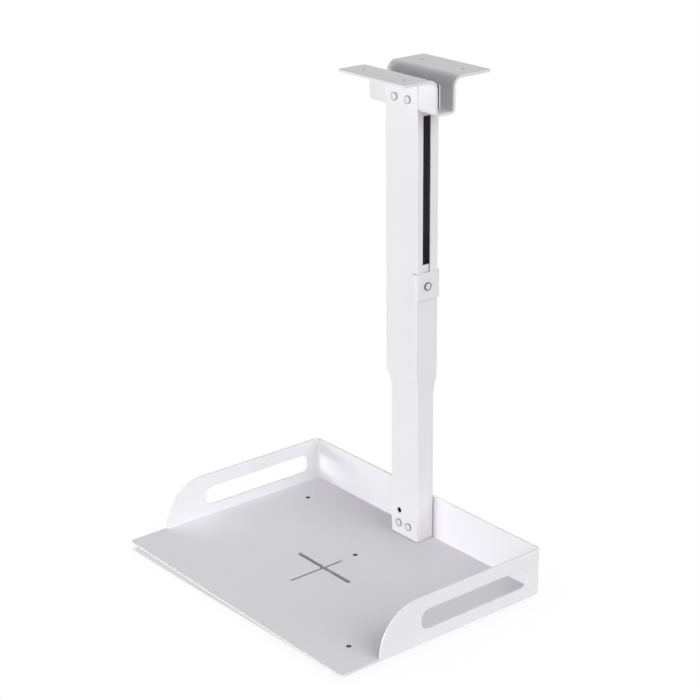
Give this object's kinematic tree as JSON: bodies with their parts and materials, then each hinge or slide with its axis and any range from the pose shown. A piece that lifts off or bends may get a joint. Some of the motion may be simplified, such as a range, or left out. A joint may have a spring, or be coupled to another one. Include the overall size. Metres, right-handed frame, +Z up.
{
  "type": "projector ceiling mount",
  "caption": "White ceiling mount for a projector: a hat-shaped ceiling bracket, a telescopic rectangular pole locked by a side screw, and an open tray with a cross slot.",
  "frame": {"origin": "centre of the ceiling screw pattern, in the plane of the flanges' upper faces, on the pole's axis", "axes": "+Z up into the ceiling, +Y towards the tray's back wall, +X towards the lock screw's side"},
  "size_m": [0.354, 0.2945, 0.496],
  "materials": {
    "white_coat": "fine powder coat, satin",
    "painted_screw": "satin",
    "zinc": "zinc plated",
    "black_rubber": "matt"
  },
  "bodies": {
    "ceiling_side": {"ceiling_bracket": "white_coat", "backing_pad": "black_rubber", "backing_strip": "white_coat", "outer_pole": "white_coat", "head_washer_left": "zinc", "head_washer_right": "zinc", "head_screw_left": "painted_screw", "head_screw_right": "painted_screw", "head_nut_left": "zinc", "head_nut_right": "zinc"},
    "tray_side": {"inner_pole": "white_coat", "tray": "white_coat", "foot_angle": "zinc", "foot_washer_left": "zinc", "foot_washer_right": "zinc", "foot_screw_left": "painted_screw", "foot_screw_right": "painted_screw", "foot_nut_left": "zinc", "foot_nut_right": "zinc", "lock_plate": "white_coat", "lock_washer": "zinc", "lock_screw": "painted_screw", "lock_nut": "zinc"}
  },
  "joints": [
    {"name": "height_slide", "type": "slide", "parent": "ceiling_side", "child": "tray_side", "axis": [0, 0, 1], "range_m": [0, 0.115]}
  ]
}
